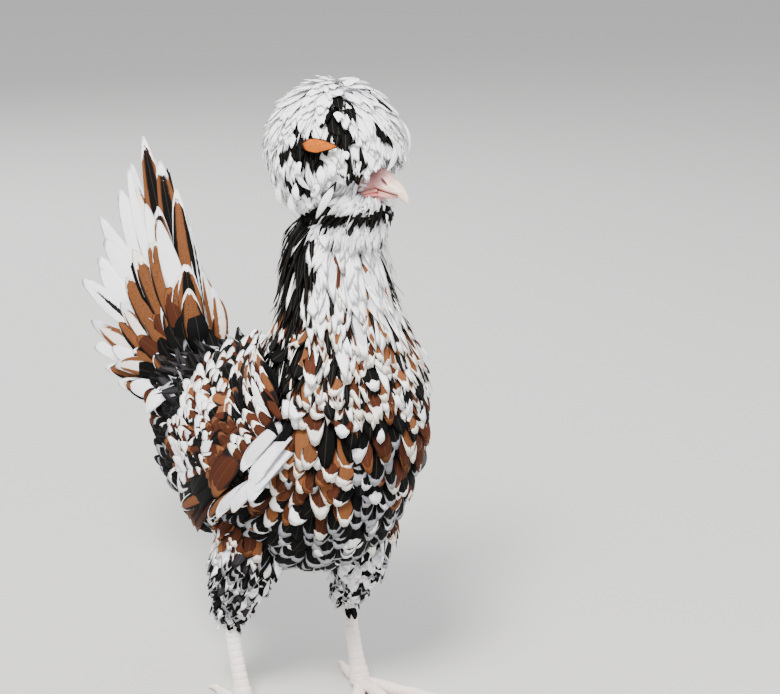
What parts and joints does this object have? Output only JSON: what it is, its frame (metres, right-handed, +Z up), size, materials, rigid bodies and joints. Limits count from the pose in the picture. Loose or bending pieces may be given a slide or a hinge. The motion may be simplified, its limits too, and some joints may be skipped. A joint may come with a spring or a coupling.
{
  "type": "polish crested hen display model",
  "caption": "Life-size standing hen with a globe crest, beard, folded wings and a high fanned tail, in mottled white, black and mahogany plumage.",
  "frame": {"origin": "on the floor, under the middle of the model's box", "axes": "+Z up, the hen faces -Y, her left side is +X"},
  "size_m": [0.1412, 0.3207, 0.391],
  "materials": {
    "body_plumage": "short overlapping feathers, mahogany with a black bar and a white tip",
    "neck_plumage": "narrow pointed feathers, white in front and black down the right side",
    "crest_plumage": "soft white feathers with a few black ones and one orange one",
    "wing_plumage": "broad smooth feathers, mahogany, black and white",
    "tail_plumage": "broad stiff feathers, orange-brown with black and white edges",
    "face_skin": "bare pink skin, slightly moist",
    "eye": "clear dark orange with a black pupil",
    "bill_horn": "pale pinkish ivory horn, satin",
    "leg_scale": "white scales, satin",
    "claw_horn": "pale horn, satin"
  },
  "bodies": {
    "root": {"torso": "body_plumage", "neck": "neck_plumage", "thigh_left": "body_plumage", "thigh_right": "body_plumage", "crest": "crest_plumage", "wing_left": "wing_plumage", "wing_right": "wing_plumage", "tail": "tail_plumage", "head": "face_skin", "eye_left": "eye", "eye_right": "eye", "bill_upper": "bill_horn", "bill_lower": "bill_horn", "shank_left": "leg_scale", "shank_right": "leg_scale", "foot_left": "leg_scale", "foot_right": "leg_scale", "claw_inner_left": "claw_horn", "claw_middle_left": "claw_horn", "claw_outer_left": "claw_horn", "claw_hind_left": "claw_horn", "claw_inner_right": "claw_horn", "claw_middle_right": "claw_horn", "claw_outer_right": "claw_horn", "claw_hind_right": "claw_horn"}
  },
  "joints": []
}
